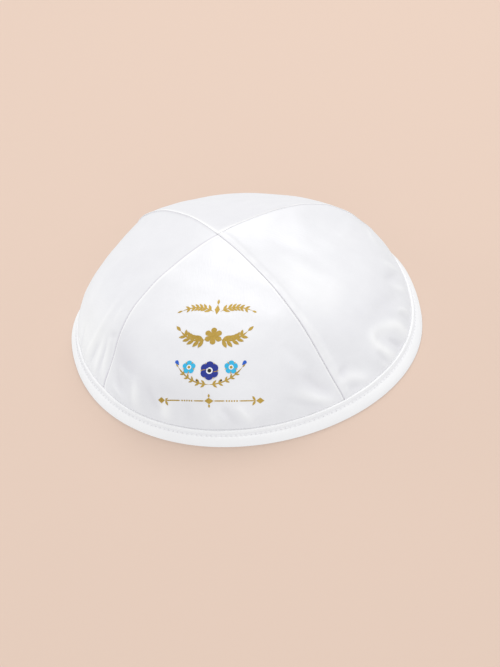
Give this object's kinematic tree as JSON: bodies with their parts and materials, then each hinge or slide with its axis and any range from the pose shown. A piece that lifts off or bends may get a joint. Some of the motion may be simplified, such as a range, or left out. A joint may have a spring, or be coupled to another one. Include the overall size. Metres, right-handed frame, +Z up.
{
  "type": "kippah skullcap",
  "caption": "Shallow round skullcap of four sewn satin panels meeting in a cross at the crown, with a folded satin binding stitched round the rim.",
  "frame": {"origin": "centre of the rim, on the surface that the cap rests on", "axes": "+Z up through the crown, the front panel faces -Y, +X to the right of a person who looks at the front panel"},
  "size_m": [0.1726, 0.1728, 0.0577],
  "materials": {
    "panel_satin": "satin",
    "binding_satin": "satin"
  },
  "bodies": {
    "root": {"panel_front": "panel_satin", "panel_right": "panel_satin", "panel_back": "panel_satin", "panel_left": "panel_satin", "rim_binding": "binding_satin"}
  },
  "joints": []
}
